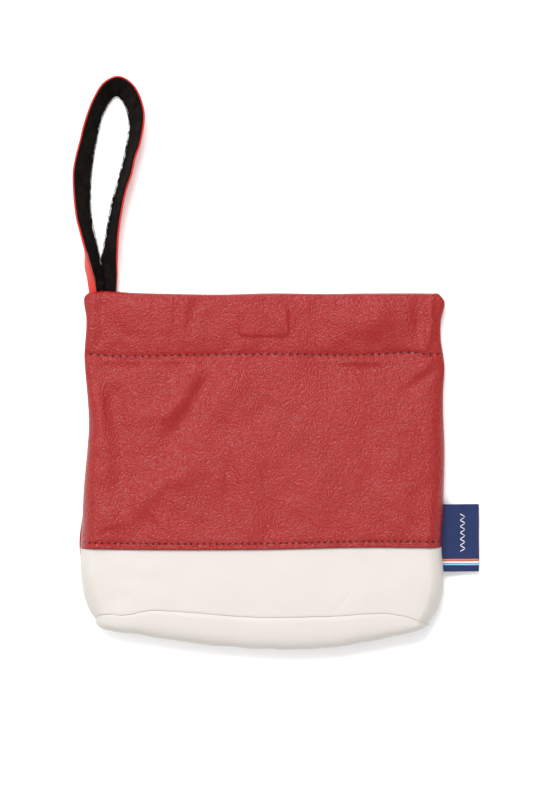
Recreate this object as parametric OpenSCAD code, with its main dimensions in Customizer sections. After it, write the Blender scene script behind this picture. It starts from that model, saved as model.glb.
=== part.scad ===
// Soft leather valuables pouch: magnetic mouth, white base, wrist loop and side label.
// It lies on its back. X is right, Y runs to the mouth, Z is up from the resting face.
// All sizes are in millimetres.

/* [Body] */
// Width across the side seams
body_w = 200; // [165:1:240]
// Length from the bulge of the base to the mouth edge
body_l = 197.2; // [160:0.2:240]
// Thickness at the seam of the base
base_t = 22; // [16:0.5:30]
// How far the base bulges past its seam
base_bulge = 19.4; // [12:0.2:26]
// Height of the white band above the seam of the base
band_h = 36.8; // [24:0.2:50]
// Radius of the lower corners, seen from above
corner_r = 18; // [10:0.5:24]
// Extra rise of the front half way up
front_puff = 1.5; // [0:0.1:4]
// Width of the rounded shoulder at each side
shoulder_w = 8.3; // [5:0.1:12]
// Distance from each side to the end of the base's seam
base_inset = 8.5; // [6:0.1:12]
// How far the lower corners would run past the seam if it did not cut them
corner_cut = 4.3; // [2:0.1:6]

/* [Hem and magnets] */
// Depth of the hem from the mouth edge to its stitches
hem_depth = 33.2; // [28:0.2:42]
// Distance from the mouth edge to the middle of the magnets
magnet_drop = 13.6; // [12:0.1:16]
// Spacing of the three magnets
magnet_pitch = 63; // [45:1:75]
// Width of a magnet sleeve
sleeve_w = 28; // [20:0.5:36]
// Length of a magnet sleeve along the pouch
sleeve_l = 19; // [12:0.5:22]
// Thickness of a magnet sleeve
sleeve_t = 2.3; // [1.8:0.1:3.2]
// Corner radius of a magnet sleeve
sleeve_r = 2; // [1.5:0.1:3]
// Thickness of the sleeve's fabric
sleeve_wall = 0.4; // [0.3:0.05:0.6]
// How far each magnet stands up in the front hem
pad_h = 0.8; // [0.4:0.1:1.5]
// Depth of the pinch along the hem stitches
pinch = 0.3; // [0.1:0.05:0.8]
// Length of the slope above the pinch
pinch_run = 6; // [5:0.1:8]
// How far the facings reach below the hem stitches
facing_lap = 2.6; // [2:0.1:5]
// How far each facing's foot reaches above the hem stitches
facing_foot = 1.4; // [1:0.1:2]

/* [Materials] */
// Thickness of the leather
leather_t = 1.2; // [0.9:0.05:1.8]
// Thickness of the lining
lining_t = 0.8; // [0.5:0.05:1.2]
// Thread thickness
thread_d = 0.5; // [0.3:0.05:0.7]
// Stitch pitch on the hem
hem_pitch = 4.1; // [2.5:0.1:6]
// Stitch pitch on the white band
band_pitch = 3.5; // [2.5:0.1:6]
// Distance from the red panels' lower edge to its stitches
band_stitch_in = 3.1; // [2:0.1:5]
// Part of each pitch that shows thread
stitch_share = 0.75; // [0.5:0.05:0.9]

/* [Fits] */
// Gap between layers that are sewn together
lay_gap = 0.1; // [0.05:0.05:0.3]
// Gap between the two halves along the side seams
half_gap = 0.3; // [0.3:0.05:0.6]
// Gap between the two facings at the closed mouth
mouth_gap = 0.7; // [0.6:0.1:2]
// Gap between the front half and the base at the hinge line
seam_gap = 0.4; // [0.3:0.05:0.8]
// Length of the lap where the red panels cover the white bands
lap = 7; // [5:0.5:10]
// Gap between the strap's root and the mouth edge
strap_gap = 1.2; // [1:0.1:3]
// Gap between the strap's sewn-in end and the strap
tab_gap = 0.4; // [0.3:0.05:0.6]
// Distance from the side seam to the label's folding line
flex_gap = 1; // [0.8:0.1:2]
// Gap between the label's folding line and the loose part of the label
label_gap = 0.3; // [0.2:0.05:0.5]

/* [Wrist strap] */
// Length of the loop from the mouth edge to its far end
strap_len = 120; // [95:1:150]
// Width of the strap
strap_w = 12.7; // [10:0.1:18]
// Distance from the left side to the strap's root
strap_inset = 10.5; // [9:0.1:20]
// Thickness of the strap's outer leather
strap_skin = 1.1; // [0.8:0.05:1.5]
// Thickness of the strap's suede
strap_suede_t = 0.9; // [0.6:0.05:1.2]
// Height of the strap's lower edge
strap_lift = 1.0; // [0.8:0.1:2]
// Radius of the strap's root about its swing axis
root_r = 6.5; // [5:0.1:8]
// Width of the sewn-in end of the strap
tab_w = 11; // [8:0.5:14]
// Length of the sewn-in end inside the hem
tab_in = 20; // [10:1:30]

/* [Label] */
// Length of the label along the side seam
label_l = 37.2; // [25:0.2:50]
// How far the label stands out of the seam
label_w = 18; // [12:0.2:25]
// Thickness of the folded label
label_t = 1.0; // [0.8:0.05:1.4]
// Thickness of the label's woven cloth
label_cloth = 0.4; // [0.3:0.05:0.5]
// Thickness of the label's sewn-in edge
label_root_t = 0.6; // [0.4:0.05:0.7]
// How far the label's edge is sewn in
label_root_in = 3.4; // [2:0.1:5]
// Position of the label's middle along the pouch
label_y = -37.4; // [-45:0.2:30]

/* [Hidden] */
$fn = 48;
tiny = 0.02;
past = 1;
mouth_y = body_l / 2;
base_y = -body_l / 2;
seam_y = base_y + base_bulge;
band_y = seam_y + band_h;
lap_y = band_y + lap;
hem_y = mouth_y - hem_depth;
hem_low_y = hem_y + pinch_run;
mid_y = (hem_y + seam_y) / 2;
magnet_y = mouth_y - magnet_drop;
corner_y = seam_y - corner_cut + corner_r;

stack_t = 2 * leather_t + 2 * lay_gap + sleeve_t;
split_z = stack_t + mouth_gap / 2;
rim_z = split_z - half_gap / 2;
front_z = split_z + half_gap / 2;
facing_z = stack_t + mouth_gap;
pad_z = facing_z + stack_t;
hem_z = pad_z - pad_h;
stitch_z = hem_z - pinch;
mid_z = (stitch_z + base_t) / 2 + front_puff;
under = leather_t + lay_gap;
band_in = under + leather_t;
lining_out = band_in + 2 * lay_gap;
hinge_z = base_t - under;
facing_end_y = hem_y - facing_lap;
lining_end_y = facing_end_y - half_gap;

band_stitch_y = band_y + band_stitch_in;

strap_x = -body_w / 2 + strap_inset;
swing_y = mouth_y + strap_gap + root_r;
strap_scale = strap_len / 120;
tab_end_y = mouth_y + strap_gap - tab_gap;
label_z = rim_z - (label_root_t + lay_gap) / 2;
lining_rim_z = rim_z - label_root_t - half_gap;
flex_x = body_w / 2 + flex_gap;

red = [0.71, 0.25, 0.24];
white = [0.93, 0.90, 0.87];
black = [0.10, 0.07, 0.06];
orange_red = [0.86, 0.22, 0.16];
thread = [0.30, 0.10, 0.11];
cream = [0.80, 0.75, 0.68];
steel = [0.72, 0.72, 0.74];
cloth = [0.88, 0.87, 0.84];
navy = [0.16, 0.22, 0.39];

// Height of the front's outer surface at a distance along the pouch
function ramp(y, y0, z0, y1, z1) = z0 + (z1 - z0) * (y - y0) / (y1 - y0);
function roof_z(y) =
  y >= hem_low_y ? hem_z :
  y >= hem_y ? ramp(y, hem_y, stitch_z, hem_low_y, hem_z) :
  y >= mid_y ? ramp(y, hem_y, stitch_z, mid_y, mid_z) :
  ramp(y, mid_y, mid_z, seam_y, base_t);

// Right-hand shoulder of a cross-section, from the side seam up to the flat top
function shoulder(half, z0, z1, i) =
  [for (a = [0 : 15 : 90])
    [half - shoulder_w + (shoulder_w - i) * cos(a), z0 + (z1 - i - z0) * sin(a)]];
function both_sides(pts) =
  concat(pts, [for (k = [len(pts) - 1 : -1 : 0]) [-pts[k][0], pts[k][1]]]);

// Outline of the pouch from above, i inside the outer leather
module plan(i) {
  translate([-body_w / 2 + i, corner_y])
    square([body_w - 2 * i, mouth_y - i - corner_y]);
  for (s = [-1, 1])
    translate([s * (body_w / 2 - corner_r), corner_y]) circle(corner_r - i);
  translate([-body_w / 2 + corner_r, corner_y - corner_r + i])
    square([body_w - 2 * corner_r, corner_r - i + tiny]);
}

// Everything between two distances along the pouch
module slab(y0, y1) {
  translate([-body_w, y0, -past]) cube([2 * body_w, y1 - y0, 3 * base_t]);
}

// Thin upright slice of the front half, with its foot lowered by drop
module slice(y, i, drop) {
  foot = [[body_w / 2 - i, front_z - drop]];
  translate([0, y + tiny / 2, 0])
    rotate([90, 0, 0])
      linear_extrude(tiny)
        polygon(both_sides(concat(foot, shoulder(body_w / 2, front_z, roof_z(y), i))));
}

// Solid front half, i inside the outer leather
module front_solid(i, drop) {
  intersection() {
    union() {
      hull() { slice(mouth_y - i, i, drop); slice(hem_low_y, i, drop); }
      hull() { slice(hem_low_y, i, drop); slice(hem_y, i, drop); }
      hull() { slice(hem_y, i, drop); slice(mid_y, i, drop); }
      hull() { slice(mid_y, i, drop); slice(seam_y - past, i, drop); }
    }
    translate([0, 0, -past]) linear_extrude(2 * base_t) plan(i);
  }
}

module front_skin(i0, i1, y0, y1) {
  intersection() {
    difference() {
      front_solid(i0, 0);
      front_solid(i1, past);
    }
    slab(y0, y1);
  }
}

// Back half: a floor with an upturned rim
module tray(i0, i1, top, y0, y1) {
  intersection() {
    difference() {
      translate([0, 0, i0]) linear_extrude(top - i0) plan(i0);
      translate([0, 0, i1]) linear_extrude(top) plan(i1);
    }
    slab(y0, y1);
  }
}

// Shallow channel across the back that keeps a thread of width d off the resting face
module groove(y, d) {
  translate([-body_w, y - d, -past]) cube([2 * body_w, 2 * d, past + d + lay_gap]);
}

module label_notch() {
  in = label_root_in + lay_gap;
  translate([body_w / 2 - in, label_y - label_l / 2 - lay_gap, rim_z - label_root_t - lay_gap])
    cube([2 * in, label_l + 2 * lay_gap, past]);
}

module strap_slot() {
  translate([strap_x - tab_w / 2 - lay_gap, mouth_y - 2 * leather_t, leather_t])
    cube([tab_w + 2 * lay_gap, 4 * leather_t, sleeve_t + 2 * lay_gap]);
}

module back_panel() {
  color(red)
    difference() {
      union() {
        tray(0, leather_t, rim_z, lap_y, mouth_y + past);
        tray(0, leather_t / 2 - lay_gap / 2, rim_z, band_y, lap_y + tiny);
      }
      groove(hem_y, thread_d);
      groove(band_stitch_y, thread_d / 2);
      label_notch();
      strap_slot();
    }
}

module back_base_band() {
  color(white)
    difference() {
      union() {
        tray(0, leather_t, rim_z, seam_y, band_y - lay_gap);
        tray(leather_t / 2 + lay_gap / 2, leather_t, rim_z, band_y - lay_gap - tiny, lap_y - lay_gap);
      }
      label_notch();
    }
}

// Thin level slice of the base at height z, bulging by s
module crescent(half, z, s) {
  translate([0, seam_y - seam_gap, z])
    linear_extrude(tiny)
      polygon(concat(
        [for (k = [-12 : 12]) [half * k / 12, -s * (1 - k * k / 144)]],
        [[half, tiny], [-half, tiny]]));
}

// Solid base, i inside its outer leather, with its open face moved by reach
module base_solid(i, reach) {
  half = body_w / 2 - base_inset - i;
  mid = hinge_z / 2;
  hull() {
    translate([0, seam_y - seam_gap + reach, 0])
      rotate([90, 0, 0])
        linear_extrude(reach + tiny)
          polygon(both_sides(concat([[half, i]], shoulder(half + i, split_z, hinge_z, i))));
    for (a = [-75 : 25 : 75])
      crescent(half, mid + (mid - i) * sin(a), (base_bulge - seam_gap - i) * cos(a));
  }
}

module base_panel() {
  color(white)
    difference() {
      base_solid(0, 0);
      base_solid(leather_t, past);
    }
}

module base_lining() {
  color(cream)
    difference() {
      base_solid(under, 0);
      base_solid(under + lining_t, past);
    }
}

module back_facing() {
  half = body_w / 2 - under;
  rise = stack_t - leather_t;
  nick = leather_t / 2;
  color(red)
    translate([-half, 0, 0])
      rotate([90, 0, 90])
        linear_extrude(2 * half)
          polygon([
            [facing_end_y, under], [hem_y + facing_foot, under], [hem_low_y + nick, rise],
            [mouth_y - under, rise], [mouth_y - under, stack_t], [hem_low_y, stack_t],
            [hem_y + facing_foot - nick, under + leather_t], [facing_end_y, under + leather_t]
          ]);
}

module front_facing() {
  top = stitch_z - under;
  nick = leather_t / 2;
  color(red)
    intersection() {
      front_solid(under, 0);
      translate([-body_w / 2, 0, 0])
        rotate([90, 0, 90])
          linear_extrude(body_w)
            polygon([
              [facing_end_y, top - leather_t], [hem_y + facing_foot - nick, top - leather_t],
              [hem_low_y, facing_z], [mouth_y, facing_z], [mouth_y, facing_z + leather_t],
              [hem_low_y + nick, facing_z + leather_t], [hem_y + facing_foot, top],
              [facing_end_y, top]
            ]);
    }
}

module back_lining() {
  color(cream)
    tray(under, under + lining_t, lining_rim_z, seam_y, lining_end_y);
}

module front_lining() {
  color(cream)
    front_skin(lining_out, lining_out + lining_t, seam_y, lining_end_y);
}

// Rounded rectangle on the hem over one magnet
module sleeve_shape(grow, height) {
  r = sleeve_r + grow;
  linear_extrude(height) {
    square([sleeve_w + 2 * grow - 2 * r, sleeve_l + 2 * grow], center = true);
    square([sleeve_w + 2 * grow, sleeve_l + 2 * grow - 2 * r], center = true);
    for (sx = [-1, 1], sy = [-1, 1])
      translate([sx * (sleeve_w / 2 - sleeve_r), sy * (sleeve_l / 2 - sleeve_r)]) circle(r);
  }
}

module front_panel() {
  color(red)
    difference() {
      union() {
        front_skin(0, leather_t, band_y, mouth_y + past);
        for (k = [-1, 0, 1])
          translate([k * magnet_pitch, magnet_y, hem_z - leather_t])
            sleeve_shape(lay_gap + leather_t, pad_h + leather_t);
      }
      for (k = [-1, 0, 1])
        translate([k * magnet_pitch, magnet_y, facing_z])
          sleeve_shape(lay_gap, pad_z - leather_t - facing_z);
    }
}

module front_base_band() {
  color(white)
    front_skin(under, band_in, seam_y, lap_y);
}

module sleeve(k, z) {
  color(cloth)
    translate([k * magnet_pitch, magnet_y, z])
      difference() {
        sleeve_shape(0, sleeve_t);
        translate([0, 0, sleeve_wall]) sleeve_shape(-sleeve_wall, sleeve_t - 2 * sleeve_wall);
      }
}

module magnet(k, z) {
  in = sleeve_wall + lay_gap;
  color(steel)
    translate([k * magnet_pitch, magnet_y, z + in])
      sleeve_shape(-in, sleeve_t - 2 * in);
}

module back_sleeve_left() { sleeve(-1, under); }
module back_sleeve_mid() { sleeve(0, under); }
module back_sleeve_right() { sleeve(1, under); }
module back_magnet_left() { magnet(-1, under); }
module back_magnet_mid() { magnet(0, under); }
module back_magnet_right() { magnet(1, under); }
module front_sleeve_left() { sleeve(-1, facing_z + under); }
module front_sleeve_mid() { sleeve(0, facing_z + under); }
module front_sleeve_right() { sleeve(1, facing_z + under); }
module front_magnet_left() { magnet(-1, facing_z + under); }
module front_magnet_mid() { magnet(0, facing_z + under); }
module front_magnet_right() { magnet(1, facing_z + under); }

// A row of stitches across the pouch, clear of its shoulders by one stitch
module stitch_row(y, z, pitch, d) {
  n = floor((body_w / 2 - shoulder_w) / pitch) - 1;
  color(thread)
    for (k = [-n : n])
      translate([(k - stitch_share / 2) * pitch, y, z])
        rotate([0, 90, 0])
          cylinder(d = d, h = stitch_share * pitch, $fn = 24);
}

module front_hem_stitching() {
  stitch_row(hem_y, stitch_z + thread_d / 2 + lay_gap, hem_pitch, thread_d);
}
module front_band_stitching() {
  stitch_row(band_stitch_y, roof_z(band_stitch_y) + thread_d / 2 + lay_gap, band_pitch, thread_d);
}
module back_hem_stitching() {
  stitch_row(hem_y, thread_d / 2 + lay_gap / 2, hem_pitch, thread_d);
}
module back_band_stitching() {
  stitch_row(band_stitch_y, thread_d / 4 + lay_gap / 2, band_pitch, thread_d / 2);
}

module strap_tab() {
  color(orange_red)
    translate([strap_x - tab_w / 2, mouth_y - tab_in, under])
      cube([tab_w, tab_end_y - mouth_y + tab_in, sleeve_t - lay_gap]);
}

module label_tab() {
  color(navy)
    translate([body_w / 2 - label_root_in, label_y - label_l / 2, label_z - label_root_t / 2])
      cube([label_root_in + flex_gap / 2, label_l, label_root_t]);
}

// Folded label, open at the seam and closed at its outer end
module side_label() {
  color(navy)
    translate([flex_x + label_gap, label_y + label_l / 2, label_z])
      rotate([90, 0, 0])
        linear_extrude(label_l)
          difference() {
            union() {
              translate([0, -label_t / 2]) square([label_w - label_t / 2, label_t]);
              translate([label_w - label_t / 2, 0]) circle(d = label_t);
            }
            translate([-past, -label_t / 2 + label_cloth])
              square([label_w - label_t / 2 + past, label_t - 2 * label_cloth]);
          }
}

// Upper and lower edges of the strap's mid-surface, from the left root round to the right
strap_upper = [
  [-6, 1], [-9, 8], [-10.5, 17], [-12, 31], [-13.5, 42], [-14.5, 54], [-15, 66], [-13.5, 75],
  [-11, 84], [-9, 92], [-6, 101], [-2.5, 109], [2, 115.5], [9, 118.5], [16, 114], [20, 106],
  [21.5, 97], [19.5, 84], [16.5, 75], [14.5, 66], [11.5, 57], [9.5, 48], [8, 39], [7, 30],
  [6.5, 17], [6.5, 8], [6, 1]
];
strap_lower = [
  [-0.9, 1], [-2.2, 8], [-4, 17], [-6, 30], [-7.5, 40], [-8.3, 51], [-8, 64], [-7, 74],
  [-5.5, 83], [-4, 91.5], [-1.7, 100], [0.8, 105], [3.6, 109.3], [7, 111.3], [10.2, 109.2],
  [13.3, 103], [14.8, 95], [13.6, 84.5], [12, 76], [9.8, 67], [7.3, 58], [5, 49.5], [3.2, 40],
  [1.6, 31], [-0.9, 18], [0.2, 8], [1.5, 1]
];

function mix(a, b, c, d, t) =
  0.5 * ((2 * b) + (c - a) * t + (2 * a - 5 * b + 4 * c - d) * t * t
    + (3 * b - a - 3 * c + d) * t * t * t);
function smooth(p, steps) =
  [for (k = [0 : len(p) - 2], s = [0 : steps - 1])
    mix(p[max(k - 1, 0)], p[k], p[k + 1], p[min(k + 2, len(p) - 1)], s / steps)];
function at(p, z) = [strap_x + strap_scale * p[0], mouth_y + strap_scale * p[1], z];
function unit(v) = v / norm(v);

upper = smooth(strap_upper, 3);
lower = smooth(strap_lower, 3);
low_pts = [for (p = lower) at(p, strap_lift)];
high_pts = [for (k = [0 : len(upper) - 1])
  at(upper[k], strap_lift
    + sqrt(max(1, strap_w * strap_w - pow(strap_scale * norm(upper[k] - lower[k]), 2))))];
last_pt = len(low_pts) - 1;
// Outward normal of the strap at each station
outward = [for (k = [0 : last_pt])
  unit(cross(high_pts[k] - low_pts[k],
    low_pts[min(k + 1, last_pt)] + high_pts[min(k + 1, last_pt)]
    - low_pts[max(k - 1, 0)] - high_pts[max(k - 1, 0)]))];

// One layer of the strap between two offsets from its mid-surface
module strap_layer(o0, o1) {
  pts = [for (k = [0 : last_pt], q = [0 : 3])
    (q == 0 || q == 3 ? low_pts[k] : high_pts[k]) + (q < 2 ? o0 : o1) * outward[k]];
  // The last two sides split their quads the other way, so that two layers' faces match
  sides = [for (k = [0 : last_pt - 1], q = [0 : 3], h = [0, 1])
    let (a = 4 * k + q, b = 4 * k + (q + 1) % 4)
    q < 2
      ? (h == 0 ? [a, a + 4, b] : [b, a + 4, b + 4])
      : (h == 0 ? [a, a + 4, b + 4] : [a, b + 4, b])];
  end = 4 * last_pt;
  intersection() {
    polyhedron(pts, concat(sides,
      [[0, 1, 2], [0, 2, 3], [end, end + 2, end + 1], [end, end + 3, end + 2]]), 10);
    translate([strap_x, swing_y, -past])
      union() {
        cylinder(r = root_r, h = 3 * strap_w);
        translate([-strap_len, 0, 0]) cube([2 * strap_len, 2 * strap_len, 3 * strap_w]);
      }
  }
}

module strap_leather() {
  color(orange_red) strap_layer(lay_gap, strap_skin);
}
module strap_suede() {
  color(black) strap_layer(-strap_suede_t, -lay_gap);
}

back_panel();
back_base_band();
base_panel();
back_facing();
back_lining();
base_lining();
back_hem_stitching();
back_band_stitching();
strap_tab();
label_tab();
back_sleeve_left();
back_sleeve_mid();
back_sleeve_right();
back_magnet_left();
back_magnet_mid();
back_magnet_right();
front_panel();
front_base_band();
front_facing();
front_lining();
front_hem_stitching();
front_band_stitching();
front_sleeve_left();
front_sleeve_mid();
front_sleeve_right();
front_magnet_left();
front_magnet_mid();
front_magnet_right();
strap_leather();
strap_suede();
side_label();
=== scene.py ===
"""Looks of the leather pouch: soft leather, lining, stitches, wrist strap and label around its CAD frame.

Lengths are in millimetres until a mesh is made. The pouch lies on its back, with its mouth towards +Y.
"""

import math

import bpy
import numpy as np
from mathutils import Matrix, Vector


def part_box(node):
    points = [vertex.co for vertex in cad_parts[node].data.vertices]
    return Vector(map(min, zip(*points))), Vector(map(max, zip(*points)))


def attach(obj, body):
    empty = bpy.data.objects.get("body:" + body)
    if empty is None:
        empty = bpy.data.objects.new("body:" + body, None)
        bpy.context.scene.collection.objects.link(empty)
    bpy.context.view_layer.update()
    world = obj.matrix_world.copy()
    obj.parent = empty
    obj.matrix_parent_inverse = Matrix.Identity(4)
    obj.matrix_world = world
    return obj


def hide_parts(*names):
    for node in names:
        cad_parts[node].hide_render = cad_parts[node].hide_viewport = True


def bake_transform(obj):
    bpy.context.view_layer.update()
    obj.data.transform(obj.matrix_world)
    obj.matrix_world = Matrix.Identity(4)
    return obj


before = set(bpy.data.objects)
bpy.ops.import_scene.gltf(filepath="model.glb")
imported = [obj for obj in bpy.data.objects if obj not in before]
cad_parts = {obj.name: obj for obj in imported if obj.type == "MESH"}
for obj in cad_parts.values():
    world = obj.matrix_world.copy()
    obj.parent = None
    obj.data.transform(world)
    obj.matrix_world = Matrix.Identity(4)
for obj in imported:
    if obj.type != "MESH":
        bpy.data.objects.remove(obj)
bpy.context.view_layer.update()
MM = 0.001


def box(node):
    """Lowest and highest corner of a CAD node, in millimetres."""
    low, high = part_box(node)
    return np.array(low) / MM, np.array(high) / MM


# ---------------------------------------------------------------- sizes from the frame

HALF_W = box("front_panel")[1][0]
MOUTH_Y = box("front_panel")[1][1]
# Lower edge of the red panels, top of the white leather lapped under them, and the seam of the base
BAND_Y = box("front_panel")[0][1]
LAP_Y = box("front_base_band")[1][1]
SEAM_Y = box("front_base_band")[0][1]
HEM_STITCH_Y = sum(b[1] for b in box("front_hem_stitching")) / 2
BAND_STITCH_Y = sum(b[1] for b in box("front_band_stitching")) / 2
# Foot of the facings, underside of the front one and top of the back one
FACING_END_Y = box("front_facing")[0][1]
FACING_Z = box("front_facing")[0][2]
BACK_FACING_TOP = box("back_facing")[1][2]
# How far a second layer lies under the outer face
UNDER = box("back_lining")[0][2]
LINING_END_Y = box("front_lining")[1][1]
SLEEVE_LOW, SLEEVE_HIGH = box("front_sleeve_mid")
MAGNET_Y = (SLEEVE_LOW[1] + SLEEVE_HIGH[1]) / 2
MAGNET_PITCH = box("front_sleeve_right")[0][0] - SLEEVE_LOW[0]
LABEL_LOW, LABEL_HIGH = box("side_label")
STRAP_X = sum(b[0] for b in box("strap_tab")) / 2

# ---------------------------------------------------------------- sizes of the soft goods, in millimetres

LEATHER = 1.2
LINING = 0.8
# Width of the front's rounded shoulders, and of the back's tighter ones
SHOULDER = 8.3
BACK_EDGE = 3.4
# Height of the side seams, and how far the leather curls in there
SEAM_Z = (box("front_panel")[0][2] + box("back_panel")[1][2]) / 2
SEAM_IN = 1.2
# How far each half and each facing stays from the middle of the side seams
HALF_GAP = 0.05
FACING_GAP = 0.06
# Height at which the front and the back are widest
FRONT_WIDEST = 7.0
BACK_WIDEST = 3.3
# How far the facings stay inside the side edges
FACING_IN = 2.6
# Most that the hem's fold reaches round at the mouth
FOLD_DEPTH = 2.2
HEM_PITCH = 4.1
BAND_PITCH = 3.5
THREAD_R = 0.18
# Part of each pitch that shows thread, and where in the pitch it starts
STITCH_SHARE = 0.76
STITCH_START = 0.12

# How far the edge stands outside the nominal side, at distances along the pouch
LEFT_EDGE = [(98.6, -0.1), (95, 0.3), (86, -0.9), (63, 0), (41, -1.7), (26, -2.5), (12, -1.6), (-5, 0),
             (-25, 1.1), (-60, 1.6), (-71.5, -0.6), (-79, -3.9), (-84, -8.2)]
RIGHT_EDGE = [(98.6, -0.7), (93, 0.1), (84, -1.9), (75, -2.2), (57, 0), (46, -0.7), (8, 0), (-18, -0.7),
              (-44, -1.7), (-58, -0.6), (-69, -1.4), (-77, -4.2), (-84, -8.6)]
# The mouth's edge, across the pouch
MOUTH_EDGE = [(-100.6, 96.3), (-99.8, 97.7), (-98.4, 98.7), (-95.5, 99.1), (-70, 98.4), (-27, 97.7),
              (20, 98.0), (60, 98.1), (93, 98.2), (97.2, 98.1), (98.8, 97), (100.4, 94.4)]
# The seam between the white band and the base, and the edge of the base's bulge
BASE_SEAM = [(-96, -83.6), (-94.5, -81.3), (-91, -79.6), (-86, -78.6), (-76, -79.0), (-62, -76.5),
             (-44, -77.2), (-10, -79.9), (37, -79.6), (69, -78.4), (81, -80.6), (92, -84.2)]
BASE_EDGE = [(-94, -84.2), (-92.6, -85), (-90.5, -86.5), (-86, -87.9), (-71.7, -90.1), (-44, -94.4),
             (-2.5, -98.3), (25, -98.3), (53, -95), (80.6, -88.8), (93, -84.9)]
# Height of the front, along the pouch
ROOF = [(99, 9.4), (94, 9.9), (80, 10.1), (71, 9.9), (HEM_STITCH_Y, 9.3), (59, 10.1), (40, 12.6),
        (-7, 17.2), (-45, 20.2), (-70, 21.6), (-84, 21.6)]
# Ridges (+) and valleys (-) of the front: path, width and height
FOLDS = [
    ([(-36, 97), (-39, 86), (-42, 76)], 3.2, -1.0),
    ([(-44.5, 95), (-46, 78)], 2.2, 0.7),
    ([(-88.5, 97), (-88, 68)], 4, -1.2),
    ([(-96, 99), (-96.5, 84), (-96, 69)], 2.2, 0.9),
    ([(29, 93), (27, 71)], 4.4, -1.0),
    ([(92.8, 98), (92.2, 80), (88, 62)], 1.1, 1.4),
    ([(96.2, 97), (95.7, 80), (94, 66)], 1.9, -0.7),
    ([(87, 95), (86, 72)], 3.8, -0.6),
    ([(-92, 61), (-38, 61)], 1.4, 0.3),
    ([(-89, 56.5), (-68, 57.5)], 3, -0.75),
    ([(38, 61), (68, 60.5)], 1.4, 0.4),
    ([(39, 56.5), (70, 56)], 2.8, -1.0),
    ([(-27, 59), (-37, 39), (-48, 23), (-58, 12)], 5.6, -2.2),
    ([(-36, 57), (-48, 39), (-59, 26)], 5.6, 1.9),
    ([(-15, 50), (-28, 28)], 10, 1.0),
    ([(-90, 54), (-83, 39), (-80, 23), (-79, -5), (-81, -16)], 5.6, -1.6),
    ([(-70, 30), (-67, 2)], 15, -1.2),
    ([(-92, 48), (-91, 16)], 3.8, 0.9),
    ([(-88, -20), (-84, -33)], 7.5, 1.2),
    ([(-77, -24), (-58, -8), (-38, 3)], 6.2, 1.8),
    ([(-72, -32), (-60, -24)], 7.5, -1.0),
    ([(-19, 14), (-19, -34)], 4.5, -1.1),
    ([(97, 57), (86, 49), (74, 41)], 3, -1.1),
    ([(95, 63), (80, 51)], 2.5, 0.75),
    ([(-91, -60), (-50, -60)], 5, -0.25),
    ([(-86, -52), (-58, -54)], 5, 0.2),
    ([(-88, -70), (-72, -70)], 5, -0.45),
    ([(37, -79), (48.5, -66)], 1.5, -0.25),
    ([(39, -60), (75, -49)], 10, -0.4),
    ([(91, -71), (97, -71)], 3.8, -0.4),
]
# The raised magnets of the front hem: offset of the middle, half width, half height, edge, height, crown
MAGNETS = [(-1.3, 0.0, 15, 8.5, 5.0, 0.6, 0.5), (-0.7, -2.2, 13.8, 8.0, 1.4, 0.85, 0.6),
           (-1.5, -1.5, 14, 9.5, 5.0, 0.2, 2.2)]

# ---------------------------------------------------------------- shapes in numbers


def curve(points, at):
    """Smooth curve through (position, value) points, level past its ends."""
    place, value = np.array(sorted(points), float).T
    slope = np.gradient(value, place)
    at = np.clip(at, place[0], place[-1])
    k = np.clip(np.searchsorted(place, at) - 1, 0, len(place) - 2)
    run = place[k + 1] - place[k]
    t = (at - place[k]) / run
    rise = value[k + 1] - value[k]
    a, b = slope[k] * run - rise, rise - slope[k + 1] * run
    return value[k] + t * rise + t * (1 - t) * (a * (1 - t) + b * t)


def fade(q):
    """0 below q = 0 and 1 above q = 1, smooth between."""
    q = np.clip(q, 0, 1)
    return q * q * (3 - 2 * q)


def hump(q):
    """Bell of height 1 about q = 0."""
    return np.exp(-q * q)


def ripple(x, y, size, seed, stretch=1.0):
    """Smooth random relief of about unit height, with bumps of that size."""
    waves = np.random.default_rng(seed).uniform(0, 1, (14, 3))
    total = 0
    for turn, phase, spread in waves:
        k = 2 * math.pi / (size * (0.7 + spread))
        total = total + np.sin(k * (x * math.cos(math.tau * turn) + y * stretch * math.sin(math.tau * turn))
                               + math.tau * phase)
    return total / math.sqrt(len(waves) / 2)


def fold(x, y, path, width, height):
    """Ridge or valley along a path, fading at its ends."""
    nearest, place = np.full(np.shape(x), 1e9), np.zeros(np.shape(x))
    for k, ((x0, y0), (x1, y1)) in enumerate(zip(path, path[1:])):
        dx, dy = x1 - x0, y1 - y0
        t = np.clip(((x - x0) * dx + (y - y0) * dy) / (dx * dx + dy * dy), 0, 1)
        away = np.hypot(x - x0 - t * dx, y - y0 - t * dy)
        place = np.where(away < nearest, (k + t) / (len(path) - 1), place)
        nearest = np.minimum(away, nearest)
    return height * hump(nearest / width) * (0.25 + 0.75 * fade(4 * np.minimum(place, 1 - place)))


def plateau(x, y, half_x, half_y, edge):
    """1 on a rounded rectangle about the origin, 0 outside, with a slope as wide as edge."""
    corner = 3.0
    dx, dy = np.abs(x) - half_x + corner, np.abs(y) - half_y + corner
    away = np.hypot(np.maximum(dx, 0), np.maximum(dy, 0)) + np.minimum(np.maximum(dx, dy), 0) - corner
    return fade(0.5 - away / edge)


def hem_line(x):
    """The row of stitches of the hem."""
    return HEM_STITCH_Y + curve([(-99, -0.5), (-80, -1.8), (-45, -1.2), (3, -0.7), (61, -0.9), (83, 0.2),
                                 (93, -1.1), (99, 0)], x)


def band_line(x):
    """The row of stitches over the white band."""
    return BAND_STITCH_Y + band_edge(x) - BAND_Y


def band_edge(x):
    """The lower edge of the front's red panel."""
    return BAND_Y + curve([(-100, 0), (-58, -0.5), (3, -0.3), (55, 0.8), (98, 0.5)], x)


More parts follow.
